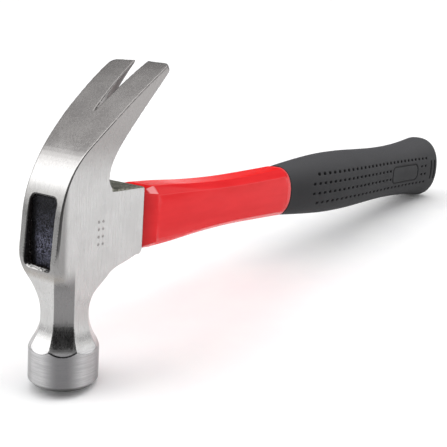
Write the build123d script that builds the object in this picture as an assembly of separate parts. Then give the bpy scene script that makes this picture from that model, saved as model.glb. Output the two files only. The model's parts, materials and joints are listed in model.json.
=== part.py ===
from build123d import *
from math import atan, cos, degrees, pi, radians, sin, sqrt, tan
import os

# Sixteen-ounce curved-claw hammer: forged steel head, jacketed fibreglass core, rubber grip.
#
# The pieces are drawn in a tool frame: the head's axis is Z with the striking face at z = 0,
# the handle runs along +X, and the tool is symmetric about the XZ plane. At the end every piece
# is tilted so that the hammer rests on the rim of its face and on the butt of its grip, and
# moved so that the origin is the bottom centre of the whole tool's box. Millimetres throughout.

# ---------------------------------------------------------------- driving dimensions

# striking face, poll and neck
POLL_R = 14.0                 # the round poll
FACE_BEVEL = 2.1              # between the poll's side and the flat face
NECK_HALF = 9.25              # half the width across the neck's eight flats
NECK_Z = 28.85                # height of the neck's narrowest place
FOOT_Z = 13.45                # the lower hollows end here, inside the round poll's zone
FOOT_HOLLOW_R = 22.65         # hollow of the eight flats below the neck
POLL_ZONE_Z = 21.05           # above this height nothing is trimmed to the round poll

# crown (the front, with the eye's mouth) and the claw's outer surface, seen from the side
FRONT_HOLLOW_R = 25.25        # hollow of the front flat above the neck
FRONT_HOLLOW_TOP_Z = 35.2     # from here the front flat runs straight to the crown's lip
CROWN_LIP = (12.85, 44.95)    # distance in front of the axis, height
CROWN_BULGE = (14.45, 48.65)
CROWN_LOW = (15.2, 52.2)      # from here the crown runs straight up
CROWN_TOP = (13.6, 68.4)      # and here the claw's bend begins
CLAW_BEND_R = 44.75
CLAW_MID_HEADING = 45.5       # headings in degrees above +X
CLAW_TIP_R = 252.65
CLAW_TIP_HEADING = 33.9

# claw's underside and the throat in front of the socket
CLAW_TIP_THICK = 1.6
CLAW_UNDERSIDE = ((29.15, 114.3), (19.6, 102.0), (13.05, 89.7))
CLAW_UNDER_TIP_HEADING = 52.0
THROAT = (12.0, 81.45)
SOCKET_TOP_START = (16.4, 78.1)

# socket that grips the handle
SOCKET_END_X = 32.95
SOCKET_TOP_Z = 78.1
SOCKET_TOP_DROP = 1.05
SOCKET_BOTTOM = (29.45, 48.95)
SOCKET_CORNER_R = 3.15
BELLY = ((20.0, 46.95), (12.95, 43.8), (10.0, 37.9))

# cheeks, half widths at x = 0; each closes in towards the handle by the draft
SIDE_HOLLOW_R = 33.0
CHEEK_FOOT = (10.35, 38.1)
CHEEK_HALF = 10.75
CHEEK_FULL_Z = 48.4
CHEEK_DRAFT = 0.026
FLARE_START_Z = 75.8
FLARE = ((11.45, 90.55), (14.0, 102.65), (15.75, 114.75), (17.35, 130.55))

# flats between front, cheeks and rear: distance from the axis along the diagonal, height
FRONT_DIAGONAL_R = 25.5
FRONT_DIAGONAL = ((15.05, 45.25), (17.15, 50.0), (17.8, 54.75))
REAR_DIAGONAL = ((10.0, 35.15), (11.3, 38.1), (13.6, 40.75), (16.95, 44.2), (27.35, 49.45))
ARRIS_BEVEL = 0.65            # depth of the bevel along the crown's upright edges
ARRIS_FADE_Z = 111.6          # it fades out at this height

# nail slot and claw tips
SLOT_HALF = 3.3               # half the gap at the tips, on the outer surface
SLOT_LENGTH = 32.4
SLOT_TAPER = 42.0             # at the tips the slot widens towards the underside, degrees
SLOT_END_SLOPE = 0.5          # the slot's end moves back by this much per depth
TIP_HALF = 16.0
TIP_CORNER_R = 3.1
TIP_BOW = 0.75                # the claw's end is slightly bowed

# eye through the head, from the crown to the socket's end
EYE_FRONT_X = -21.05
EYE_FRONT = (14.75, 28.65)    # width, height
EYE_FRONT_Z = 62.85
EYE_REAR_X = 37.9
EYE_REAR = (14.1, 20.4)
EYE_REAR_Z = 63.7
EYE_CORNER_R = 2.55

# handle
AXIS_Z = 63.45                # height of the handle's axis
CORE_SIZE = (10.55, 16.85)
CORE_CORNER_R = 3.7
CORE_START_X = -6.85
CORE_END_X = 320.0
RESIN_FACE_X = -11.35         # the cast resin stands back from the crown's surface
DAM_START_X = 28.75           # ring that keeps the liquid resin in the eye
SLEEVE_SIZE = (18.55, 20.65)  # the jacket where the grip covers it
SLEEVE_CORNER_R = 4.2
SLEEVE_END_X = 322.65
GRIP_START_X = 147.3

# jacket stations: x, half width, half height, bevel across the width, bevel across the height
JACKET_SHOULDER = (SOCKET_END_X, 9.4, 12.2, 1.2, 0.9)
JACKET = (
    (41.0, 10.5, 13.1, 3.9, 2.7),
    (55.0, 10.4, 12.6, 3.9, 2.6),
    (74.0, 10.1, 11.5, 3.9, 2.6),
    (97.0, 10.0, 11.0, 4.2, 2.6),
    (124.0, 10.0, 11.6, 4.8, 2.9),
    (GRIP_START_X, 9.95, 12.5, 5.5, 3.3),
)

# grip stations: x, half width, half height
GRIP = (
    (GRIP_START_X, 10.35, 13.1),
    (158.0, 11.7, 14.1),
    (174.0, 13.3, 15.5),
    (195.0, 14.4, 16.85),
    (216.0, 14.6, 17.15),
    (240.0, 14.2, 16.65),
    (263.0, 14.0, 16.2),
    (286.5, 14.3, 16.65),
    (305.0, 14.95, 17.8),
    (319.0, 15.7, 19.25),
    (327.0, 16.1, 20.2),
)
LIP_STEP = 0.3                # the grip's lip stands this far above the jacket's end
END_CLOSING = 5.0             # the jacket closes in on the lip over this length
GRIP_SQUARENESS = 2.3         # exponent of the grip's rounded section
BUTT_X = 332.3
BUTT_ROUND = 3.35             # rounding between the grip's side and the butt

SPAN = 75.0                   # reach of the long prisms that trim the head


# ---------------------------------------------------------------- drawing helpers

def heading(angle):
    """Unit vector in a drawing plane, at an angle in degrees above the first axis."""
    return Vector(cos(radians(angle)), sin(radians(angle)))


def turn_right(start, from_heading, to_heading, radius):
    """An arc that starts at a point and turns clockwise from one heading to another."""
    centre = start + heading(from_heading - 90) * radius

    def at(angle):
        return centre - heading(angle - 90) * radius

    return ThreePointArc(start, at((from_heading + to_heading) / 2), at(to_heading))


def hollow(radius, z):
    """Distance of a hollow flat from the head's axis, at a height near the neck."""
    return NECK_HALF + radius - sqrt(radius**2 - (z - NECK_Z) ** 2)


def hollow_arc(radius, from_z, to_z, side=1):
    """The outline of a hollow flat between two heights, on either side of the axis."""
    heights = (from_z, (from_z + to_z) / 2, to_z)
    return ThreePointArc(*[(side * hollow(radius, z), z) for z in heights])


def foot(side=1):
    """A flat's outline from the striking face up to the neck."""
    reach = hollow(FOOT_HOLLOW_R, FOOT_Z)
    return [
        Line((side * reach, 0), (side * reach, FOOT_Z)),
        hollow_arc(FOOT_HOLLOW_R, FOOT_Z, NECK_Z, side),
    ]


def across(x, z=AXIS_Z):
    """Plane across the handle, with its own x along Y and its own y along Z."""
    return Plane(origin=(x, 0, z), x_dir=(0, 1, 0), z_dir=(1, 0, 0))


def joined(*edges):
    """A filled face inside a closed run of edges."""
    return make_face(Curve() + list(edges))


def at_height(edges, z):
    """The point at a height on a chain of edges that rises all the way."""
    for edge in edges:
        if z <= (edge @ 1).Y:
            break
    low, high = 0.0, 1.0
    for _ in range(30):
        middle = (low + high) / 2
        if (edge @ middle).Y < z:
            low = middle
        else:
            high = middle
    return edge @ low


# ---------------------------------------------------------------- head

def claw_outer():
    """The crown's straight run and the claw's two outer arcs."""
    low = Vector(-CROWN_LOW[0], CROWN_LOW[1])
    top = Vector(-CROWN_TOP[0], CROWN_TOP[1])
    crown_heading = degrees(pi / 2 + atan((low.X - top.X) / (top.Y - low.Y)))
    bend = turn_right(top, crown_heading, CLAW_MID_HEADING, CLAW_BEND_R)
    tip = turn_right(bend @ 1, CLAW_MID_HEADING, CLAW_TIP_HEADING, CLAW_TIP_R)
    return [Line(low, top), bend, tip]


def side_profile():
    """The head seen from the side, drawn in X and Z."""
    front_hollow = hollow_arc(FRONT_HOLLOW_R, NECK_Z, FRONT_HOLLOW_TOP_Z, -1)
    lip = (-CROWN_LIP[0], CROWN_LIP[1])
    bulge = (-CROWN_BULGE[0], CROWN_BULGE[1])
    outer = claw_outer()
    tip = outer[-1] @ 1
    tip_under = tip + heading(CLAW_TIP_HEADING - 90) * CLAW_TIP_THICK
    top_end = (SOCKET_END_X - SOCKET_CORNER_R, SOCKET_TOP_Z)
    end_high = (SOCKET_END_X, SOCKET_TOP_Z - SOCKET_TOP_DROP)
    end_low = (SOCKET_END_X, SOCKET_BOTTOM[1] + SOCKET_CORNER_R)
    return joined(
        *foot(-1),
        front_hollow,
        Line(front_hollow @ 1, lip),
        ThreePointArc(lip, bulge, outer[0] @ 0),
        *outer,
        Line(tip, tip_under),
        Spline(
            tip_under,
            *CLAW_UNDERSIDE,
            THROAT,
            SOCKET_TOP_START,
            tangents=[-heading(CLAW_UNDER_TIP_HEADING), (1, 0)],
        ),
        Line(SOCKET_TOP_START, top_end),
        Spline(top_end, end_high, tangents=[(1, 0), (1, -1)]),
        Line(end_high, end_low),
        Spline(end_low, SOCKET_BOTTOM, tangents=[(0, -1), (-1, -0.2)]),
        Spline(SOCKET_BOTTOM, *BELLY, (NECK_HALF, NECK_Z), tangents=[(-1, -0.2), (0, -1)]),
        *foot(1),
        Line((-hollow(FOOT_HOLLOW_R, FOOT_Z), 0), (hollow(FOOT_HOLLOW_R, FOOT_Z), 0)),
    )


def cheek_outline():
    """The rising edge of a cheek above the neck's hollow, drawn in Y and Z."""
    full = (CHEEK_HALF, CHEEK_FULL_Z)
    flare_start = (CHEEK_HALF, FLARE_START_Z)
    return [
        Spline(CHEEK_FOOT, full, tangents=[(0.1, 1), (0, 1)]),
        Line(full, flare_start),
        Spline(flare_start, *FLARE, tangents=[(0, 1), (0.05, 1)]),
    ]


def cheek_profile():
    """Everything inside one cheek, drawn in Y and Z."""
    side_hollow = hollow_arc(SIDE_HOLLOW_R, NECK_Z, CHEEK_FOOT[1] - 1.2)
    return joined(
        *foot(1),
        side_hollow,
        Line(side_hollow @ 1, CHEEK_FOOT),
        *cheek_outline(),
        Line(FLARE[-1], (-SPAN, FLARE[-1][1])),
        Line((-SPAN, FLARE[-1][1]), (-SPAN, 0)),
        Line((-SPAN, 0), (hollow(FOOT_HOLLOW_R, FOOT_Z), 0)),
    )


def cheek_prism(side):
    """The head's material lies inside this prism; side is +1 or -1 across the head."""
    start = Plane(origin=(-SPAN, side * CHEEK_DRAFT * SPAN, 0), x_dir=(0, side, 0), z_dir=(side, 0, 0))
    along = Vector(1, -side * CHEEK_DRAFT, 0)
    return extrude(start * cheek_profile(), 2 * SPAN * along.length, dir=along)


def diagonal_prism(angle, upper_edges):
    """Trims one of the four corners; the outline is drawn along the diagonal and in Z."""
    out = Vector(cos(radians(angle)), sin(radians(angle)), 0)
    across = out.cross(Vector(0, 0, 1))
    top = upper_edges[-1] @ 1
    profile = joined(
        *foot(1),
        *upper_edges,
        Line(top, (SPAN, top.Y)),
        Line((SPAN, top.Y), (SPAN, 2 * SPAN)),
        Line((SPAN, 2 * SPAN), (-SPAN, 2 * SPAN)),
        Line((-SPAN, 2 * SPAN), (-SPAN, 0)),
        Line((-SPAN, 0), (hollow(FOOT_HOLLOW_R, FOOT_Z), 0)),
    )
    plane = Plane(origin=(0, 0, 0), x_dir=out, z_dir=across)
    return extrude(plane * profile, SPAN, both=True)


def crown_corner(z):
    """Distance along the diagonal from the axis to the crown's upright edge, at a height."""
    front = -at_height(claw_outer(), z).X
    half_width = at_height(cheek_outline(), z).X + CHEEK_DRAFT * front
    return (front + half_width) / sqrt(2)


def front_diagonal_edges():
    """The front corners' hollow, the cheek block's corner, and the bevel that fades up the claw."""
    hollow_top = FRONT_DIAGONAL[0][1] - 3.0
    neck_arc = hollow_arc(FRONT_DIAGONAL_R, NECK_Z, hollow_top)
    bevel_low = FRONT_DIAGONAL[-1][1]
    bevel = []
    for step in range(1, 10):
        z = bevel_low + (ARRIS_FADE_Z - bevel_low) * step / 9
        bevel.append((crown_corner(z) - ARRIS_BEVEL * (1 - step / 9), z))
    past_end = (crown_corner(ARRIS_FADE_Z + 2), ARRIS_FADE_Z + 2)
    end_tangent = Vector(past_end) - Vector(bevel[-1])
    return [
        neck_arc,
        Spline(neck_arc @ 1, *FRONT_DIAGONAL, *bevel, tangents=[neck_arc % 1, end_tangent]),
    ]


def rear_diagonal_edges():
    """The rear corners' hollow, running out under the socket."""
    return [Spline((NECK_HALF, NECK_Z), *REAR_DIAGONAL, tangents=[(0, 1), (2, 1)])]


def poll_trim():
    """Round poll and bevelled face below, no limit above."""
    outline = Polyline(
        (0, 0),
        (POLL_R - FACE_BEVEL, 0),
        (POLL_R, FACE_BEVEL),
        (POLL_R, POLL_ZONE_Z),
        (SPAN, POLL_ZONE_Z),
        (SPAN, 2 * SPAN),
        (0, 2 * SPAN),
        close=True,
    )
    return revolve(Plane.XZ * make_face(outline), Axis.Z)


def tip_plane():
    """Drawing plane on the claw's outer surface at its end: x runs out of the tip, z outwards."""
    tip = claw_outer()[-1] @ 1
    out = heading(CLAW_TIP_HEADING)
    up = heading(CLAW_TIP_HEADING + 90)
    return Plane(origin=(tip.X, 0, tip.Y), x_dir=(out.X, 0, out.Y), z_dir=(up.X, 0, up.Y))


def tip_trim():
    """Rounds the two outer corners of the claw's end and bows the end a little."""
    back = -3 * SPAN
    corner_x = -TIP_BOW
    outline = joined(
        Line((back, -TIP_HALF), (corner_x, -TIP_HALF)),
        ThreePointArc((corner_x, -TIP_HALF), (0, 0), (corner_x, TIP_HALF)),
        Line((corner_x, TIP_HALF), (back, TIP_HALF)),
        Line((back, TIP_HALF), (back, -TIP_HALF)),
    )
    corners = outline.vertices().sort_by(Axis.X)[-2:]
    return tip_plane() * extrude(fillet(corners, TIP_CORNER_R), 3 * SPAN, both=True)


def nail_slot():
    """The V between the claws; it widens towards the underside."""
    past_tip = 10.0

    def triangle(depth):
        half = SLOT_HALF + depth * tan(radians(SLOT_TAPER))
        reach = SLOT_LENGTH + depth * SLOT_END_SLOPE
        half_end = half * (reach + past_tip) / reach
        outline = Polyline((-reach, 0), (past_tip, -half_end), (past_tip, half_end), close=True)
        return Pos(0, 0, -depth) * make_face(outline)

    return tip_plane() * loft([triangle(-1), triangle(20)], ruled=True)


def eye():
    """The tapered hole through the head that takes the handle."""
    return loft([
        across(EYE_FRONT_X, EYE_FRONT_Z) * RectangleRounded(*EYE_FRONT, EYE_CORNER_R),
        across(EYE_REAR_X, EYE_REAR_Z) * RectangleRounded(*EYE_REAR, EYE_CORNER_R),
    ])


def make_head():
    """One drop forging: poll, neck, cheeks, socket and claw."""
    head = extrude(Plane.XZ * side_profile(), SPAN / 2, both=True)
    for side in (1, -1):
        head = head & cheek_prism(side)
    for angle in (135, 225):
        head = head & diagonal_prism(angle, front_diagonal_edges())
    for angle in (45, -45):
        head = head & diagonal_prism(angle, rear_diagonal_edges())
    head = head & poll_trim() & tip_trim()
    return head - nail_slot() - eye()


# ---------------------------------------------------------------- handle

def eight_sided(x, half_width, half_height, bevel_y, bevel_z):
    """An eight-sided section across the handle."""
    corners = []
    for sign_y, sign_z in ((1, 1), (-1, 1), (-1, -1), (1, -1)):
        on_side = (sign_y * half_width, sign_z * (half_height - bevel_z))
        on_top = (sign_y * (half_width - bevel_y), sign_z * half_height)
        corners += [on_side, on_top] if sign_y == sign_z else [on_top, on_side]
    return across(x) * make_face(Polyline(*corners, close=True))


def oval(x, half_width, half_height):
    """A rounded section across the grip, between an ellipse and a rectangle."""
    points = []
    for step in range(24):
        angle = 2 * pi * (step + 0.5) / 24
        c, s = cos(angle), sin(angle)
        reach = (abs(c) ** GRIP_SQUARENESS + abs(s) ** GRIP_SQUARENESS) ** (-1 / GRIP_SQUARENESS)
        points.append((half_width * reach * c, half_height * reach * s))
    return across(x) * make_face(Spline(*points, periodic=True))


def bar(size, corner_r, from_x, to_x):
    """A straight bar of rounded rectangular section along the handle's axis."""
    return extrude(across(from_x) * RectangleRounded(*size, corner_r), to_x - from_x)


def make_core():
    """The pultruded fibreglass bar that runs from the eye to near the butt."""
    return bar(CORE_SIZE, CORE_CORNER_R, CORE_START_X, CORE_END_X)


def end_closing():
    """Room for the jacket's waist: wide open, then closing in on the grip's oval lip."""
    _, half_width, half_height = GRIP[0]
    wide_x = GRIP_START_X - END_CLOSING
    wide = oval(wide_x, 1.16 * half_width, 1.16 * half_height)
    lip = oval(GRIP_START_X, half_width - LIP_STEP, half_height - LIP_STEP)
    before = extrude(across(SOCKET_END_X) * Rectangle(SPAN, SPAN), wide_x - SOCKET_END_X)
    return before + loft([wide, lip], ruled=True)


def make_jacket():
    """The moulded skin over the core: waisted and eight-sided, then a plain sleeve."""
    shoulder = loft([eight_sided(*JACKET_SHOULDER), eight_sided(*JACKET[0])], ruled=True)
    waist = loft([eight_sided(*station) for station in JACKET]) & end_closing()
    sleeve = bar(SLEEVE_SIZE, SLEEVE_CORNER_R, GRIP_START_X, SLEEVE_END_X)
    return shoulder + waist + sleeve - make_core()


def make_grip():
    """The rubber grip: an oval that swells at the palm and flares to a closed butt."""
    body = loft([oval(*station) for station in GRIP])
    last_x, half_width, half_height = GRIP[-1]
    end_inset = BUTT_ROUND
    end = oval(BUTT_X, half_width - end_inset, half_height - end_inset)
    middle_x = last_x + 0.72 * (BUTT_X - last_x)
    middle = oval(middle_x, half_width - 0.32 * end_inset, half_height - 0.32 * end_inset)
    butt = loft([oval(*GRIP[-1]), middle, end])
    return body + butt - bar(SLEEVE_SIZE, SLEEVE_CORNER_R, GRIP_START_X - 1, SLEEVE_END_X)


def in_eye(from_x, to_x):
    """What fills the eye around the core between two stations."""
    slab = extrude(across(from_x) * Rectangle(SPAN, SPAN), to_x - from_x)
    return eye() & slab


def make_dam():
    """The soft ring round the core at the socket's mouth."""
    return in_eye(DAM_START_X, SOCKET_END_X) - make_core()


def make_resin():
    """The cast resin that locks the core in the eye."""
    return in_eye(RESIN_FACE_X, DAM_START_X) - make_core()


# ---------------------------------------------------------------- resting pose and export

def rest_tilt(grip):
    """Degrees of tilt about Y at which the face's rim and the butt touch one plane."""
    tilt = 0.0
    for _ in range(8):
        lowest = (Rot(0, tilt, 0) * grip).bounding_box().min.Z
        rim = -(POLL_R - FACE_BEVEL) * sin(radians(tilt))
        tilt += degrees(atan((lowest - rim) / (BUTT_X - POLL_R)))
    return tilt


def main():
    pieces = {
        "hammer_head": make_head(),
        "fibreglass_core": make_core(),
        "handle_jacket": make_jacket(),
        "eye_dam": make_dam(),
        "resin_fill": make_resin(),
        "grip": make_grip(),
    }
    tilt = Rot(0, rest_tilt(pieces["grip"]), 0)
    tilted = {name: tilt * piece for name, piece in pieces.items()}
    box = Compound(list(tilted.values())).bounding_box()
    middle = box.center()
    to_origin = Pos(-middle.X, 0, -box.min.Z)
    os.makedirs("parts", exist_ok=True)
    for name, piece in tilted.items():
        placed = to_origin * piece
        placed.label = name
        export_step(placed, f"parts/{name}.step")


if __name__ == "__main__":
    main()
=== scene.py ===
import json
import math

import bpy
import numpy as np
from mathutils import Matrix, Vector


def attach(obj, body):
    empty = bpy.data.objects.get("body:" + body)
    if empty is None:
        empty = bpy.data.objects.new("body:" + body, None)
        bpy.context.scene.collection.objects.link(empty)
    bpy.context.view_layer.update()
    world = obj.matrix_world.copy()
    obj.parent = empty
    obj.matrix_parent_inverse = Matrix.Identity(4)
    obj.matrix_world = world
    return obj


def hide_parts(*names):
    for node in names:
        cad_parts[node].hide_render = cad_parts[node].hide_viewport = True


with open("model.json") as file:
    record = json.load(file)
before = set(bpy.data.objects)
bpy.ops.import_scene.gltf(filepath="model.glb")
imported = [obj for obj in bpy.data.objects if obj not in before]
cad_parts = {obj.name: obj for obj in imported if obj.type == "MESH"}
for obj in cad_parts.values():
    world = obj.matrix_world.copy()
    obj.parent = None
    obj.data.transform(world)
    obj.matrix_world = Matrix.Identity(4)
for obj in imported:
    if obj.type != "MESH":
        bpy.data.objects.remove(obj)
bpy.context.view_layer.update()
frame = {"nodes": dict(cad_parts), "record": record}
nodes = frame["nodes"]

MM = 0.001

# ------------------------------------------------------------------ tool frame
#
# The hammer rests tilted, on the rim of its face and on its butt. Shapes are drawn in the tool
# frame, in millimetres: origin at the centre of the striking face, Z up the head's axis, and X
# along the handle. The striking face's mount in the record says where that frame is.

face = next(m for m in frame["record"]["mounts"] if m["name"] == "striking_face")
FACE_CENTRE = Vector(face["pos_m"])
HEAD_UP = -Vector(face["axis"]).normalized()
TILT = math.atan2(HEAD_UP.x, HEAD_UP.z)
TOOL_TO_FRAME = (
    Matrix.Translation(FACE_CENTRE) @ Matrix.Rotation(TILT, 4, "Y") @ Matrix.Scale(MM, 4)
)

HANDLE_Z = 63.45            # the handle's axis above the striking face
SOCKET_END_X = 32.95
SOCKET_TOP_Z = 78.1
EYE_HALF = (7.45, 14.4)     # the eye's mouth in the crown: half width, half height
EYE_Z = 62.95
EYE_CORNER_R = 2.55
CROWN_X = -13.0             # the crown's front at the eye
POLL_TOP_Z = 17.0           # where the neck's facets meet the poll
GRIP_X = 147.3              # the grip's front edge
SLEEVE_END_X = 322.65
BUTT_X = 332.3

# jacket stations: x, half width, half height, bevel across the width, bevel across the height
JACKET = (
    (SOCKET_END_X, 9.4, 12.2, 1.2, 0.9),
    (41.0, 10.5, 13.1, 3.9, 2.7),
    (55.0, 10.4, 12.6, 3.9, 2.6),
    (74.0, 10.1, 11.5, 3.9, 2.6),
    (97.0, 10.0, 11.0, 4.2, 2.6),
    (124.0, 10.0, 11.6, 4.8, 2.9),
    (GRIP_X, 9.95, 12.5, 5.5, 3.3),
)
# the same columns and the corner radius, for the rounded edge that meets the socket
JACKET_FRONT = (
    (SOCKET_END_X + 0.02, 8.8, 11.6, 1.1, 0.8, 0.3),
    (SOCKET_END_X + 0.15, 9.25, 12.05, 1.15, 0.85, 0.4),
)
JACKET_EDGE_R = 0.9
SHOULDER_X = JACKET[1][0]
SLEEVE_HALF = (9.2, 10.2)
END_CLOSING = 6.0           # the jacket closes in on the grip's lip over this length
LIP_STEP = 0.35             # and ends this far inside the lip's outline

# grip stations: x, half width, half height
GRIP = (
    (GRIP_X, 10.35, 13.1),
    (158.0, 11.7, 14.1),
    (174.0, 13.3, 15.5),
    (195.0, 14.4, 16.85),
    (216.0, 14.6, 17.15),
    (240.0, 14.2, 16.65),
    (263.0, 14.0, 16.2),
    (286.5, 14.3, 16.65),
    (305.0, 14.95, 17.8),
    (319.0, 15.7, 19.25),
    (327.0, 16.1, 20.2),
)
GRIP_SQUARENESS = 2.3       # exponent of the section's outline; 2 would be an ellipse
BUTT_ROUND = 4.6            # radius of the butt's edge across the handle
BUTT_DOME = 0.45            # how far the butt's end bulges
GRIP_STEP = 0.33            # mesh spacing that carries the dimples
FLANK = 10.5                # the finely meshed flank reaches this far above and below the axis

# dimples on each flank: height above the axis, first x, last x, how many
DIMPLE_ROWS = (
    (8.2, 173.0, 312.6, 28),
    (3.2, 167.7, 259.4, 19),
    (-2.1, 167.5, 260.0, 19),
    (-7.7, 172.5, 311.6, 28),
    (3.2, 305.6, 310.8, 2),
    (-2.1, 305.6, 310.8, 2),
)
DIMPLE_HALF = (1.3, 0.86)   # along the handle, across it
DIMPLE_FLOOR = 0.66         # the flat floor's share of that
DIMPLE_DEPTH = 0.95
LABEL_CENTRE_X = 281.4
LABEL_HALF = (18.3, 5.15)
LABEL_CORNER_R = 4.0
GROOVE_HALF = 0.78
GROOVE_DEPTH = 0.55
BUTT_SLOT_X = (319.6, 324.4)    # two plain transverse slots near the butt
BUTT_SLOT_HALF_LENGTH = 5.6

# a block of plain punch marks on the camera-side cheek, along X and along Z
MARK_FIRST = (6.6, 57.3)
MARK_SPACING = (2.4, 3.0)
MARK_COUNT = (2, 4)
MARK_R = 0.75


# ------------------------------------------------------------------ mesh helpers

def stations_at(table, x):
    """Smoothly interpolated columns of a station table at an array of x."""
    table = np.array(table, float)
    xs, values = table[:, 0], table[:, 1:]
    h = np.diff(xs)[:, None]
    slope = np.diff(values, axis=0) / h
    inner = np.where(
        slope[:-1] * slope[1:] > 0,
        (slope[:-1] * h[1:] + slope[1:] * h[:-1]) / (h[:-1] + h[1:]),
        0.0,
    )
    tangent = np.vstack([slope[:1], inner, slope[-1:]])
    i = np.clip(np.searchsorted(xs, x, side="right") - 1, 0, len(xs) - 2)
    t = ((x - xs[i]) / h[i, 0])[:, None]
    a, b, step = values[i], values[i + 1], h[i]
    return (
        (2 * t**3 - 3 * t**2 + 1) * a
        + (t**3 - 2 * t**2 + t) * step * tangent[i]
        + (-2 * t**3 + 3 * t**2) * b
        + (t**3 - t**2) * step * tangent[i + 1]
    )


def smooth_between(value, low, high):
    t = np.clip((value - low) / (high - low), 0.0, 1.0)
    return t * t * (3 - 2 * t)


def mesh_from_rings(name, rings):
    """A skin over rings of points in the tool frame, closed by a fan at each end."""
    rings = np.array(rings)
    count, around = rings.shape[:2]
    i, j = np.meshgrid(np.arange(count - 1), np.arange(around), indexing="ij")
    k = (j + 1) % around
    quads = np.stack([i * around + j, i * around + k, (i + 1) * around + k, (i + 1) * around + j], -1)
    start = count * around
    end, last = start + 1, (count - 1) * around
    faces = quads.reshape(-1, 4).tolist()
    faces += [(start, (j + 1) % around, j) for j in range(around)]
    faces += [(end, last + j, last + (j + 1) % around) for j in range(around)]
    points = np.vstack([rings.reshape(-1, 3), rings[0].mean(0), rings[-1].mean(0)])
    mesh = bpy.data.meshes.new(name)
    mesh.from_pydata(points.tolist(), [], faces)
    mesh.transform(TOOL_TO_FRAME)
    mesh.update()
    obj = bpy.data.objects.new(name, mesh)
    bpy.context.scene.collection.objects.link(obj)
    for polygon in mesh.polygons:
        polygon.use_smooth = True
    return obj


def point_attribute(obj, name, values):
    """Stores a number at each ring point of a mesh, and 0 at the middles of its two ends."""
    padded = np.zeros(len(obj.data.vertices), np.float32)
    padded[:len(values)] = values
    obj.data.attributes.new(name, "FLOAT", "POINT").data.foreach_set("value", padded)


# ------------------------------------------------------------------ jacket

ROUND_SHARES = (0.0, 0.25, 0.5, 0.75, 1.0)      # points on the round at each corner
FLAT_SHARES = (0.2, 0.4, 0.6, 0.8)              # points along the flat after it


def eight_sided_ring(x, half_width, half_height, bevel_y, bevel_z, edge_r):
    """An eight-sided section with small rounds at its corners."""
    corners = []
    for sign_y, sign_z in ((1, 1), (-1, 1), (-1, -1), (1, -1)):
        on_side = (sign_y * half_width, sign_z * (half_height - bevel_z))
        on_top = (sign_y * (half_width - bevel_y), sign_z * half_height)
        corners += [on_side, on_top] if sign_y == sign_z else [on_top, on_side]
    corners = [Vector(c) for c in corners]
    rounds = []
    for k, corner in enumerate(corners):
        to_last, to_next = corners[k - 1] - corner, corners[(k + 1) % 8] - corner
        reach = edge_r / math.tan(to_last.angle(to_next) / 2)
        reach = min(reach, 0.45 * to_last.length, 0.45 * to_next.length)
        start, end = corner + to_last.normalized() * reach, corner + to_next.normalized() * reach
        rounds.append([
            start * (1 - t) ** 2 + corner * 2 * t * (1 - t) + end * t**2
            for t in ROUND_SHARES
        ])
    outline = []
    for k, corner_round in enumerate(rounds):
        outline += corner_round
        ahead = rounds[(k + 1) % 8][0]
        outline += [corner_round[-1].lerp(ahead, t) for t in FLAT_SHARES]
    return [(x, point.x, HANDLE_Z + point.y) for point in outline]


def make_jacket():
    """The glossy skin: shoulder at the socket, waisted eight-sided length, sleeve in the grip."""
    front, full = np.array(JACKET[0]), np.array(JACKET[1])

    def closed_in(ring):
        """Brings a ring near the grip inside an oval that shrinks to the lip's."""
        share = np.clip((ring[0][0] - GRIP_X + END_CLOSING) / END_CLOSING, 0.0, 1.0)
        scale = 1.16 - 0.16 * share
        half_width, half_height = scale * (GRIP[0][1] - LIP_STEP), scale * (GRIP[0][2] - LIP_STEP)
        inside = []
        for x, y, z in ring:
            across = abs(y / half_width) ** GRIP_SQUARENESS
            upwards = abs((z - HANDLE_Z) / half_height) ** GRIP_SQUARENESS
            shrink = min(1.0, (across + upwards) ** (-1 / GRIP_SQUARENESS))
            inside.append((x, y * shrink, HANDLE_Z + (z - HANDLE_Z) * shrink))
        return inside

    # the rounded front edge, the shoulder's slope, and the rounded arris that ends it
    rings = [eight_sided_ring(*station) for station in JACKET_FRONT]
    for t in np.linspace(0.07, 0.9, 8):
        x, *size = front * (1 - t) + full * t
        rings.append(eight_sided_ring(x, *size, 0.4 + 0.5 * t))
    for share, x in ((0.965, SHOULDER_X - 0.25), (0.99, SHOULDER_X + 0.1)):
        size = (front * (1 - share) + full * share)[1:]
        rings.append(eight_sided_ring(x, *size, JACKET_EDGE_R))

    # the waisted length, finer where it closes in on the lip, then the sleeve
    closing_x = GRIP_X - END_CLOSING
    xs = np.concatenate([
        np.arange(SHOULDER_X + 0.6, closing_x - 1.0, 2.4),
        np.arange(closing_x, GRIP_X - 0.1, 0.5),
        [GRIP_X, GRIP_X + 1.0],
    ])
    sizes = stations_at(JACKET[1:], np.minimum(xs, GRIP_X))
    for x, size in zip(xs, sizes):
        rings.append(closed_in(eight_sided_ring(x, *size, JACKET_EDGE_R)))
    for x in (GRIP_X + 1.5, SLEEVE_END_X - 1.0):
        rings.append(eight_sided_ring(x, *SLEEVE_HALF, 4.0, 4.0, JACKET_EDGE_R))
    jacket = mesh_from_rings("jacket_skin", rings)

    # painted highlight: how pale the skin is, a little at the middle of each round, most beside the
    # grip's lip
    per_corner = len(ROUND_SHARES) + len(FLAT_SHARES)
    on_corner = 0.2 * (np.arange(8 * per_corner) % per_corner == len(ROUND_SHARES) // 2)
    painted_highlight = []
    for ring in rings:
        to_grip = GRIP_X - ring[0][0]
        near_grip = 1.0 if to_grip < 0.6 else 0.3 if to_grip < 3.0 else 0.0
        painted_highlight.append(np.maximum(on_corner, near_grip))
    point_attribute(jacket, "edge", np.concatenate(painted_highlight))
    return jacket


# ------------------------------------------------------------------ grip

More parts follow.
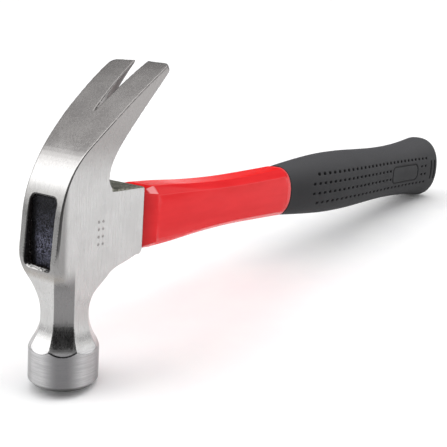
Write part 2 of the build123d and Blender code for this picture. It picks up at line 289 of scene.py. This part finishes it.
def flank_depth(x, z):
    """How deep the moulded pattern is at points of a flank; z is the height above the axis."""
    depth = np.zeros_like(x)

    # dimples with flat floors
    for row_z, first_x, last_x, count in DIMPLE_ROWS:
        pitch = (last_x - first_x) / (count - 1)
        index = np.clip(np.round((x - first_x) / pitch), 0, count - 1)
        dx = np.abs(x - first_x - index * pitch)
        reach = ((dx / DIMPLE_HALF[0]) ** 3 + (np.abs(z - row_z) / DIMPLE_HALF[1]) ** 3) ** (1 / 3)
        pocket = 1 - smooth_between(reach, DIMPLE_FLOOR, 1.0)
        depth = np.maximum(depth, DIMPLE_DEPTH * pocket)

    # a groove along the rounded outline of the label frame
    qx = np.abs(x - LABEL_CENTRE_X) - LABEL_HALF[0] + LABEL_CORNER_R
    qz = np.abs(z) - LABEL_HALF[1] + LABEL_CORNER_R
    outline = np.hypot(np.maximum(qx, 0), np.maximum(qz, 0)) + np.minimum(np.maximum(qx, qz), 0)
    groove = 1 - smooth_between(np.abs(outline - LABEL_CORNER_R), 0.15, GROOVE_HALF)
    depth = np.maximum(depth, GROOVE_DEPTH * groove)

    # transverse slots
    for slot_x in BUTT_SLOT_X:
        past_end = np.maximum(np.abs(z) - BUTT_SLOT_HALF_LENGTH, 0)
        slot = 1 - smooth_between(np.hypot(x - slot_x, past_end), 0.5, 1.2)
        depth = np.maximum(depth, GROOVE_DEPTH * slot)
    return depth


def grip_ring(x, half_width, half_height, flank_z, arc_steps, patterned=True):
    """One section of the grip, from the -Y flank over the top, down the +Y flank and under.

    The last column is how far the surface is pressed in there, as a share of a dimple's depth.
    """
    n = GRIP_SQUARENESS
    flank = flank_z * min(1.0, 0.8 * half_height / FLANK)
    side_y = half_width * (1 - np.abs(flank / half_height) ** n) ** (1 / n)
    edge = math.asin(min(1.0, (abs(flank[-1]) / half_height) ** (n / 2)))
    arc = np.linspace(edge, math.pi - edge, arc_steps + 2)[1:-1]
    arc_y = -half_width * np.sign(np.cos(arc)) * np.abs(np.cos(arc)) ** (2 / n)
    arc_z = half_height * np.sin(arc) ** (2 / n)
    y = np.concatenate([-side_y, arc_y, side_y[::-1], -arc_y])
    z = np.concatenate([flank, arc_z, flank[::-1], -arc_z])
    depth = np.zeros(len(y))
    if patterned:
        normal_y = np.sign(y) * np.abs(y / half_width) ** (n - 1) / half_width
        normal_z = np.sign(z) * np.abs(z / half_height) ** (n - 1) / half_height
        length = np.hypot(normal_y, normal_z)
        on_flank = np.concatenate([
            np.ones(len(flank)), np.zeros(arc_steps), np.ones(len(flank)), np.zeros(arc_steps)
        ])
        depth = flank_depth(np.full(len(y), x), z) * on_flank
        y, z = y - depth * normal_y / length, z - depth * normal_z / length
    return np.stack([np.full(len(y), x), y, HANDLE_Z + z, depth / DIMPLE_DEPTH], -1)


def make_grip():
    """The rubber grip with its rows of dimples, blank label frame and rounded butt."""
    flank_z = np.arange(-FLANK, FLANK + 0.01, GRIP_STEP)
    arc_steps = 44
    body_end = GRIP[-1][0]

    # the lip turns in, as x and inset
    lip = ((GRIP_X + 1.6, 0.9), (GRIP_X, 0.36), (GRIP_X, 0.2), (GRIP_X + 0.1, 0.06))
    rings = [
        grip_ring(x, GRIP[0][1] - inset, GRIP[0][2] - inset, flank_z, arc_steps, False)
        for x, inset in lip
    ]
    xs = np.concatenate([
        [GRIP_X + 0.4],
        np.arange(GRIP_X + 1.0, 160.0, 1.0),
        np.arange(160.0, body_end - 0.2, GRIP_STEP),
    ])
    for x, (half_width, half_height) in zip(xs, stations_at(GRIP, xs)):
        rings.append(grip_ring(x, half_width, half_height, flank_z, arc_steps))

    # the butt's round edge and its shallow dome
    _, half_width, half_height = GRIP[-1]
    for angle in np.radians(np.arange(0, 91, 9)):
        x = body_end + (BUTT_X - BUTT_DOME - body_end) * math.sin(angle)
        inset = BUTT_ROUND * (1 - math.cos(angle))
        rings.append(grip_ring(x, half_width - inset, half_height - inset, flank_z, arc_steps, False))
    for share in (0.93, 0.75, 0.5, 0.25, 0.08):
        x = BUTT_X - BUTT_DOME * share**2
        width, height = share * (half_width - BUTT_ROUND), share * (half_height - BUTT_ROUND)
        rings.append(grip_ring(x, width, height, flank_z, arc_steps, False))
    rings = np.array(rings)
    grip = mesh_from_rings("grip_moulding", rings[..., :3])
    point_attribute(grip, "pressed", rings[..., 3].ravel())
    return grip


# ------------------------------------------------------------------ material helpers

# outputs of a texture coordinate node
GENERATED, NORMAL, OBJECT = 0, 1, 3


class Nodes:
    """A short way to write a node tree: each call makes one node and returns its output."""

    def __init__(self, tree):
        self.tree = tree

    def put(self, target, value):
        """Links an output to an input, or sets the input to a constant."""
        if isinstance(value, bpy.types.NodeSocket):
            self.tree.links.new(value, target)
        elif value is not None:
            target.default_value = value

    def node(self, kind, output=0, settings=None, **inputs):
        """Makes a node; its inputs are given by name, or by number as i0, i1 and so on."""
        made = self.tree.nodes.new(kind)
        for key, value in (settings or {}).items():
            setattr(made, key, value)
        for key, value in inputs.items():
            by_number = key[0] == "i" and key[1:].isdigit()
            self.put(made.inputs[int(key[1:]) if by_number else key], value)
        return made.outputs[output]

    def math(self, operation, a, b=None):
        return self.node("ShaderNodeMath", 0, {"operation": operation}, i0=a, i1=b)

    def product(self, first, *others):
        for other in others:
            first = self.math("MULTIPLY", first, other)
        return first

    def most(self, first, *others):
        """The largest of several values."""
        for other in others:
            first = self.math("MAXIMUM", first, other)
        return first

    def minus(self, a, b):
        return self.math("SUBTRACT", a, b)

    def size(self, a):
        return self.math("ABSOLUTE", a)

    def hypot(self, a, b):
        return self.math("SQRT", self.math("ADD", self.math("POWER", a, 2.0), self.math("POWER", b, 2.0)))

    def split(self, vector):
        """The three components of a vector."""
        made = self.tree.nodes.new("ShaderNodeSeparateXYZ")
        self.put(made.inputs[0], vector)
        return made.outputs

    def coordinate(self, kind):
        return self.node("ShaderNodeTexCoord", kind)

    def tool_position(self):
        """Position in the tool frame, in millimetres."""
        place = self.coordinate(OBJECT)
        made = self.tree.nodes.new("ShaderNodeMapping")
        made.vector_type = "POINT"
        self.put(made.inputs["Vector"], place)
        made.inputs["Scale"].default_value = (1 / MM,) * 3
        made.inputs["Rotation"].default_value = (0.0, -TILT, 0.0)
        made.inputs["Location"].default_value = TOOL_TO_FRAME.inverted().translation
        return made.outputs[0]

    def stretched(self, vector, scale):
        return self.node("ShaderNodeVectorMath", 0, {"operation": "MULTIPLY"}, i0=vector, i1=scale)

    def noise(self, vector, scale, detail=4.0, roughness=0.55, distortion=0.0):
        return self.node("ShaderNodeTexNoise", Vector=vector, Scale=scale, Detail=detail,
                         Roughness=roughness, Distortion=distortion)

    def ramp(self, value, low, high, to_low=0.0, to_high=1.0, smooth=True):
        """to_low at low and to_high at high, held beyond both."""
        kind = {"interpolation_type": "SMOOTHSTEP"} if smooth else {}
        return self.node("ShaderNodeMapRange", 0, kind, i0=value, i1=low, i2=high, i3=to_low, i4=to_high)

    def mix(self, factor, a, b):
        made = self.tree.nodes.new("ShaderNodeMix")
        made.data_type = "RGBA"
        self.put(made.inputs[0], factor)
        self.put(made.inputs[6], a)
        self.put(made.inputs[7], b)
        return made.outputs[2]

    def bump(self, height, distance, strength=1.0, normal=None):
        return self.node("ShaderNodeBump", Height=height, Distance=distance, Strength=strength,
                         Normal=normal)

    def within(self, value, low, high, soft=0.5):
        """1 between two limits, with soft ends."""
        rising = self.ramp(value, low - soft, low + soft)
        falling = self.ramp(value, high + soft, high - soft)
        return self.product(rising, falling)


class Material(Nodes):
    """The node tree of a new material."""

    def __init__(self, name):
        self.material = bpy.data.materials.new(name)
        self.material.use_nodes = True
        super().__init__(self.material.node_tree)
        self.shader = self.tree.nodes["Principled BSDF"]

    def set(self, **inputs):
        """Fills in the shader's inputs and returns the finished material."""
        for key, value in inputs.items():
            self.put(self.shader.inputs[key.replace("_", " ")], value)
        return self.material


def dress(obj, material):
    """Gives a piece one material."""
    obj.data.materials.clear()
    obj.data.materials.append(material)


# ------------------------------------------------------------------ materials

def steel():
    """Ground and satin-polished steel: forged scale on the socket, resin stains in the eye; painted shade
    on the arrises, the face's rim, the neck's front facets, the poll and up the claws, and a painted
    highlight in the eye.
    """
    n = Material("satin_steel")
    place = n.tool_position()
    x, y, z = n.split(place)
    normal_y = n.size(n.split(n.coordinate(NORMAL))[1])
    eye_bottom, eye_top = EYE_Z - EYE_HALF[1], EYE_Z + EYE_HALF[1]

    # the brushing runs up the head, and level on the poll
    on_poll = n.ramp(z, POLL_TOP_Z + 2.0, POLL_TOP_Z - 2.0)
    above_poll = n.ramp(z, POLL_TOP_Z - 2.0, POLL_TOP_Z + 2.0)
    upright = n.noise(n.stretched(place, (1.0, 1.0, 0.05)), 1.6, 5.0, 0.65)
    level = n.noise(n.stretched(place, (0.05, 0.05, 1.0)), 1.9, 5.0, 0.65)
    streak = n.mix(on_poll, upright, level)
    cloudy = n.noise(place, 0.09, 3.0)
    fine = n.noise(place, 1.3, 4.0)

    def frayed(mask, amount):
        """A mask whose outline is broken up by the fine noise."""
        shift = n.product(n.minus(fine, 0.5), amount)
        return n.ramp(n.math("ADD", mask, shift), 0.35, 0.65)

    # forged scale on the socket's top, behind the foot of the claws
    socket_top = n.within(z, SOCKET_TOP_Z - 0.8, SOCKET_TOP_Z + 1.8)
    forged = frayed(n.product(socket_top, n.ramp(x, 12.6, 14.2)), 1.0)

    # resin on the eye's walls, but for an uncoated strip at the bottom that is painted near-white as a
    # highlight; the resin stains the eye, and the steel round it is darker
    past_y = n.most(n.minus(n.size(y), EYE_HALF[0] - EYE_CORNER_R), 0.0)
    past_z = n.most(n.minus(n.size(n.minus(z, EYE_Z)), EYE_HALF[1] - EYE_CORNER_R), 0.0)
    in_outline = n.ramp(n.hypot(past_y, past_z), EYE_CORNER_R + 0.15, EYE_CORNER_R - 0.1)
    in_eye = n.product(in_outline, n.ramp(x, 0.0, -2.0))
    # painted highlight: the uncoated strip at the eye's bottom
    strip = n.ramp(z, eye_bottom + 1.35, eye_bottom + 0.85)
    strip = n.product(strip, n.ramp(y, -5.5, 1.5, 0.3, 0.62), n.ramp(x, CROWN_X + 1.1, CROWN_X))
    bare_strip_highlight = n.product(frayed(strip, 2.2), in_eye)
    stained = n.product(in_eye, n.minus(1.0, bare_strip_highlight))
    below_eye = n.within(z, eye_bottom - 3.55, eye_bottom - 1.05, 1.8)
    rust = n.product(below_eye, n.ramp(x, CROWN_X + 4.0, CROWN_X), n.ramp(fine, 0.3, 0.7, 0.2, 0.6))
    surround = n.within(z, eye_bottom - 2.05, eye_top + 5.15, 3.2)
    surround = n.product(n.ramp(x, CROWN_X + 4.0, CROWN_X + 1.0), surround)

    # painted shade: dark arrises up the claws, painted shadow on the face's rim, and the front diagonal
    # facets of the neck darkened
    arris = n.product(n.within(normal_y, 0.3, 0.93, 0.06), n.ramp(z, 50.0, 68.0))
    rim = n.ramp(z, 2.6, 1.4)
    painted_dark_edge = n.most(n.product(arris, 0.85), n.product(rim, 0.6))
    off_diagonal = n.size(n.minus(n.size(y), n.size(x)))
    on_facet = n.product(n.ramp(off_diagonal, 5.8, 5.2), n.ramp(x, 1.0, -1.0))
    facet = n.product(on_facet, above_poll, n.ramp(z, 51.0, 42.0))

    def from_mark(value, axis):
        """Distance along one axis from the nearest punch mark's middle."""
        half = MARK_SPACING[axis] / 2
        return n.minus(n.math("PINGPONG", n.minus(value, MARK_FIRST[axis] - half), half), half)

    def in_rows(value, axis):
        """1 along one axis where there are marks."""
        low = MARK_FIRST[axis] - MARK_SPACING[axis] / 2
        return n.within(value, low, low + MARK_COUNT[axis] * MARK_SPACING[axis], 0.05)

    mark = n.ramp(n.hypot(from_mark(x, 0), from_mark(z, 1)), MARK_R, MARK_R - 0.4)
    marked = n.product(in_rows(z, 1), in_rows(x, 0), n.ramp(y, -8.0, -9.0), mark)

    # colours, from the ground steel outwards
    tint = n.mix(n.ramp(cloudy, 0.35, 0.65), (0.5, 0.495, 0.49, 1), (0.55, 0.545, 0.54, 1))
    tint = n.mix(n.ramp(streak, 0.3, 0.7, 0.0, 0.22), tint, (0.34, 0.337, 0.335, 1))
    # painted shade: darker up the claws
    up_the_claws = n.product(n.ramp(z, 80.0, 100.0), 0.85)
    tint = n.mix(up_the_claws, tint, (0.31, 0.293, 0.287, 1))
    # painted shade on the neck's front diagonal facets
    tint = n.mix(facet, tint, (0.2, 0.196, 0.196, 1))
    # the poll: painted shade, darker towards its diagonals, and darker streaks from its level brushing
    from_diagonal = n.math("DIVIDE", off_diagonal, n.math("ADD", n.size(x), n.size(y)))
    poll_tint = n.mix(n.ramp(from_diagonal, 0.75, 0.1), (0.5, 0.496, 0.5, 1), (0.15, 0.148, 0.152, 1))
    poll_tint = n.mix(n.ramp(level, 0.35, 0.65, 0.0, 0.35), poll_tint, (0.22, 0.218, 0.22, 1))
    tint = n.mix(on_poll, tint, poll_tint)
    # darker steel round the eye
    tint = n.mix(n.product(surround, 0.85), tint, (0.22, 0.216, 0.212, 1))
    tint = n.mix(rust, tint, (0.27, 0.23, 0.18, 1))
    # painted shade along the arrises and painted shadow on the face's rim
    tint = n.mix(painted_dark_edge, tint, (0.07, 0.068, 0.066, 1))
    scale_tint = n.mix(n.ramp(fine, 0.35, 0.65), (0.09, 0.092, 0.075, 1), (0.34, 0.34, 0.29, 1))
    colour = n.mix(forged, tint, scale_tint)
    colour = n.mix(stained, colour, (0.012, 0.01, 0.01, 1))
    # painted highlight: the uncoated strip near-white and not metallic
    colour = n.mix(bare_strip_highlight, colour, (0.95, 0.94, 0.92, 1))
    colour = n.mix(n.product(marked, 0.6), colour, (0.14, 0.13, 0.125, 1))

    gloss = n.minus(n.ramp(streak, 0.25, 0.75, 0.18, 0.32), n.product(on_poll, 0.05))
    gloss = n.math("ADD", gloss, n.ramp(cloudy, 0.3, 0.7, -0.03, 0.03))
    dull = n.most(n.product(forged, 0.62), n.product(bare_strip_highlight, 0.6), n.product(painted_dark_edge, 0.6))
    brushed = n.bump(streak, 0.02 * MM, 0.2)
    pitted = n.bump(n.product(fine, forged), 0.5 * MM, 0.8, brushed)
    punched = n.bump(n.minus(1.0, marked), 0.25 * MM, 0.7, pitted)
    return n.set(Base_Color=colour, Metallic=n.minus(1.0, n.most(stained, bare_strip_highlight)),
                 Roughness=n.most(gloss, dull), Normal=punched)


def red_skin():
    """Glossy moulded red plastic, with faint flow marks and orange peel; painted light on its top,
    painted shade on the shoulder and painted highlights along its edges.
    """
    n = Material("red_gloss")
    place = n.tool_position()
    x = n.split(place)[0]
    upwards = n.split(n.coordinate(NORMAL))[2]
    edge = n.node("ShaderNodeAttribute", 2, {"attribute_name": "edge"})
    flow = n.noise(n.stretched(place, (0.25, 1.0, 1.0)), 0.12, 3.0)

    # painted shade darkens the shoulder, and a painted highlight makes a pale patch where its upper bevel
    # meets the full section
    shoulder = n.ramp(x, SHOULDER_X + 0.2, SOCKET_END_X, 0.0, 0.75, smooth=False)
    on_bevel = n.product(n.ramp(upwards, 0.3, 0.6), n.ramp(upwards, 0.95, 0.89))
    near_corner = n.ramp(n.size(n.minus(x, SHOULDER_X - 1.8)), 3.6, 2.2)
    # painted highlights: along the rounds, beside the grip's lip and at the shoulder's corner
    pale = n.most(n.product(edge, 0.35), n.product(on_bevel, near_corner, 0.7))

    colour = n.mix(n.ramp(flow, 0.3, 0.7), (0.72, 0.016, 0.02, 1), (0.79, 0.023, 0.027, 1))
    # painted light: redder where the skin faces up
    colour = n.mix(n.ramp(upwards, 0.88, 0.97), colour, (0.95, 0.012, 0.013, 1))
    colour = n.mix(shoulder, colour, (0.36, 0.009, 0.011, 1))
    colour = n.mix(pale, colour, (1.0, 0.42, 0.43, 1))
    roughness = n.ramp(n.noise(place, 0.4, 4.0), 0.3, 0.7, 0.2, 0.27)
    peel = n.bump(n.noise(place, 0.12, 2.0), 0.1 * MM, 0.15)
    return n.set(Base_Color=colour, Roughness=roughness, Specular_IOR_Level=0.13, Normal=peel)


def rubber():
    """Matte charcoal rubber with a fine moulded grain and a parting line; painted light on its top and
    painted shade in its pressed-in pattern.
    """
    n = Material("grip_rubber")
    place = n.tool_position()
    from_seam = n.size(n.split(place)[1])
    grain = n.noise(place, 2.6, 3.0, 0.6)
    cloudy = n.noise(place, 0.07, 4.0)
    pressed = n.node("ShaderNodeAttribute", 2, {"attribute_name": "pressed"})
    colour = n.mix(n.ramp(cloudy, 0.3, 0.7), (0.02, 0.02, 0.0215, 1), (0.027, 0.027, 0.029, 1))
    # painted light: lighter where the rubber faces up
    facing_up = n.split(n.coordinate(NORMAL))[2]
    colour = n.mix(n.ramp(facing_up, 0.0, 1.0, smooth=False), colour, (0.066, 0.066, 0.07, 1))
    colour = n.mix(n.ramp(grain, 0.35, 0.75, 0.0, 0.2), colour, (0.07, 0.07, 0.075, 1))
    # painted shade in the dimples, the label groove and the slots
    colour = n.mix(n.ramp(pressed, 0.05, 0.4), colour, (0.004, 0.004, 0.005, 1))
    roughness = n.ramp(grain, 0.3, 0.7, 0.52, 0.68)
    height = n.math("ADD", n.product(grain, 0.5), n.ramp(from_seam, 0.35, 0.1))
    bumped = n.bump(height, 0.12 * MM, 0.6)
    return n.set(Base_Color=colour, Roughness=roughness, Specular_IOR_Level=0.16, Normal=bumped)


def resin():
    """Poured black epoxy: lumpy, with thin painted bluish glints and a painted pale sheen down one side.
    """
    n = Material("black_resin")
    place = n.tool_position()
    _, y, z = n.split(place)
    lumps = n.noise(place, 0.7, 5.0, 0.65)
    curls = n.noise(place, 0.85, 3.0, 0.6, distortion=1.6)

    # painted highlights: glints over the middle, thickest in a pool low down
    centre = n.product(n.ramp(y, 6.0, 3.0), n.ramp(z, 73.5, 60.0, 0.15, 1.0))
    threads = n.product(n.ramp(n.size(n.minus(curls, 0.5)), 0.03, 0.015), centre)
    pool = n.product(n.ramp(z, 51.0, 54.5), n.ramp(z, 64.0, 59.0))
    specks = n.product(pool, n.ramp(n.noise(place, 1.5, 2.0), 0.53, 0.58), centre)
    glints = n.most(threads, specks)
    # painted highlight: a pale bluish sheen down the -Y side
    wavy_y = n.math("ADD", y, n.product(lumps, 0.6))
    painted_side_sheen = n.product(n.ramp(wavy_y, -5.4, -6.2), n.ramp(z, 56.0, 59.0), n.ramp(z, 69.5, 67.0))

    dark = n.mix(n.ramp(lumps, 0.4, 0.75), (0.003, 0.003, 0.004, 1), (0.009, 0.008, 0.009, 1))
    colour = n.mix(n.most(n.product(glints, 0.8), painted_side_sheen), dark, (0.24, 0.245, 0.34, 1))
    roughness = n.ramp(lumps, 0.3, 0.7, 0.2, 0.5)
    bumped = n.bump(n.math("ADD", lumps, n.product(curls, 0.6)), 1.1 * MM, 0.9)
    return n.set(Base_Color=colour, Roughness=roughness, Specular_IOR_Level=0.14, Normal=bumped)


def glass_fibre():
    """Pultruded bar: amber resin with fibres along the handle."""
    n = Material("pultruded_fibre")
    place = n.tool_position()
    fibres = n.noise(n.stretched(place, (0.02, 1.0, 1.0)), 3.0, 5.0, 0.6)
    colour = n.mix(n.ramp(fibres, 0.3, 0.7), (0.42, 0.33, 0.14, 1), (0.72, 0.62, 0.38, 1))
    return n.set(Base_Color=colour, Roughness=n.ramp(fibres, 0.3, 0.7, 0.4, 0.6),
                 Normal=n.bump(fibres, 0.1 * MM, 0.5))


def foam():
    """Closed-cell foam ring in the eye."""
    n = Material("dam_foam")
    place = n.tool_position()
    cells = n.tree.nodes.new("ShaderNodeTexVoronoi")
    n.put(cells.inputs["Vector"], place)
    cells.inputs["Scale"].default_value = 2.0
    distance = cells.outputs["Distance"]
    colour = n.mix(n.ramp(distance, 0.1, 0.5), (0.02, 0.02, 0.02, 1), (0.07, 0.07, 0.07, 1))
    return n.set(Base_Color=colour, Roughness=n.ramp(distance, 0.0, 0.6, 0.9, 0.7),
                 Normal=n.bump(distance, 0.15 * MM, 0.8))


def pale_floor():
    """A plain white table with a barely visible mottle."""
    n = Material("pale_floor")
    mottle = n.noise(n.coordinate(OBJECT), 40.0, 3.0)
    colour = n.mix(n.ramp(mottle, 0.3, 0.7), (0.93, 0.93, 0.94, 1), (0.95, 0.95, 0.95, 1))
    return n.set(Base_Color=colour, Roughness=n.ramp(mottle, 0.3, 0.7, 0.5, 0.6), Specular_IOR_Level=0.2,
                 Emission_Color=(1.0, 1.0, 1.0, 1.0), Emission_Strength=0.05)


# ------------------------------------------------------------------ pieces

head = nodes["hammer_head"]
weld = head.modifiers.new("weld", "WELD")
weld.merge_threshold = 0.001 * MM
soft_edges = head.modifiers.new("soft_edges", "REMESH")
soft_edges.mode = "VOXEL"
soft_edges.voxel_size = 0.27 * MM
soft_edges.use_smooth_shade = True
polish = head.modifiers.new("polish", "SMOOTH")
polish.factor = 0.5
polish.iterations = 6
dress(head, steel())

fill = nodes["resin_fill"]
fine_mesh = fill.modifiers.new("fine_mesh", "REMESH")
fine_mesh.mode = "VOXEL"
fine_mesh.voxel_size = 0.4 * MM
fine_mesh.use_smooth_shade = True
lump_texture = bpy.data.textures.new("resin_lumps", "CLOUDS")
lump_texture.noise_scale = 2.6 * MM
lump_texture.noise_depth = 3
lumps = fill.modifiers.new("lumps", "DISPLACE")
lumps.texture = lump_texture
lumps.texture_coords = "LOCAL"
lumps.direction = "X"
lumps.strength = 1.4 * MM
lumps.mid_level = 0.5
dress(fill, resin())

jacket = make_jacket()
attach(jacket, "root")
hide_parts("handle_jacket")
dress(jacket, red_skin())

grip = make_grip()
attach(grip, "root")
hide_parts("grip")
dress(grip, rubber())

dress(nodes["fibreglass_core"], glass_fibre())
dress(nodes["eye_dam"], foam())

# ------------------------------------------------------------------ stage and light

FLOOR_SIZE = 24.0           # metres
SKY = 0.59                  # brightness of the plain sky
# azimuth, elevation, half angle of the full part and of the faded edge; then how much
SOFTBOXES = (
    ((136, 30, 20, 34), 1.85),
    ((-52, 22, 30, 46), 0.9),
)
DARK_PATCHES = (
    ((-146, 25, 42, 62), 0.92),
    ((37, 6, 30, 50), 0.93),
)

bpy.ops.mesh.primitive_plane_add(size=FLOOR_SIZE)
floor = bpy.context.object
floor.name = "floor"
dress(floor, pale_floor())

sun_data = bpy.data.lights.new("overhead", "SUN")
sun_data.energy = 1.9
sun_data.angle = math.radians(80)
sun = bpy.data.objects.new("overhead", sun_data)
bpy.context.scene.collection.objects.link(sun)


def bearing(azimuth, elevation):
    """Unit vector at an azimuth from +X towards +Y and an elevation, in degrees."""
    a, e = math.radians(azimuth), math.radians(elevation)
    return Vector((math.cos(a) * math.cos(e), math.sin(a) * math.cos(e), math.sin(e)))


def studio_world():
    """Softboxes painted on the sky: bright to both sides, dark behind the camera and far ahead.

    Where the camera looks straight at it, the sky is plain white.
    """
    world = bpy.data.worlds.new("studio")
    bpy.context.scene.world = world
    world.use_nodes = True
    n = Nodes(world.node_tree)
    direction = n.coordinate(GENERATED)
    above_horizon = n.ramp(n.split(direction)[2], 0.08, 0.3)

    def patch(azimuth, elevation, full, edge):
        """1 inside an angle from a bearing, fading to 0 at the edge angle."""
        dot = n.node("ShaderNodeVectorMath", 1, {"operation": "DOT_PRODUCT"},
                     i0=direction, i1=bearing(azimuth, elevation))
        return n.ramp(dot, math.cos(math.radians(edge)), math.cos(math.radians(full)))

    light = SKY
    for place, strength in SOFTBOXES:
        light = n.math("ADD", light, n.product(patch(*place), above_horizon, strength))
    for place, depth in DARK_PATCHES:
        light = n.product(light, n.minus(1.0, n.product(patch(*place), depth)))
    seen = n.node("ShaderNodeLightPath")     # 1 on the camera's own rays
    light = n.math("ADD", n.product(light, n.minus(1.0, seen)), seen)
    background = n.tree.nodes["Background"]
    n.put(background.inputs[1], light)
    background.inputs[0].default_value = (1.0, 1.0, 1.0, 1.0)


studio_world()

# ------------------------------------------------------------------ camera

CAMERA_PLACE = Vector((-359.0, -230.1, 164.2)) * MM
CAMERA_YAW = 37.05          # degrees from +X towards +Y
CAMERA_PITCH = 18.24        # downwards
CAMERA_ROLL = -0.85
camera_data = bpy.data.cameras.new("camera")
camera_data.lens = 66.06
camera_data.sensor_width = 36.0
camera_data.clip_start = 0.01
camera = bpy.data.objects.new("camera", camera_data)
camera.matrix_world = (
    Matrix.Translation(CAMERA_PLACE)
    @ Matrix.Rotation(math.radians(CAMERA_YAW - 90), 4, "Z")
    @ Matrix.Rotation(math.radians(90 - CAMERA_PITCH), 4, "X")
    @ Matrix.Rotation(math.radians(CAMERA_ROLL), 4, "Z")
)
bpy.context.scene.collection.objects.link(camera)
bpy.context.scene.camera = camera
bpy.context.scene.view_settings.view_transform = "Standard"
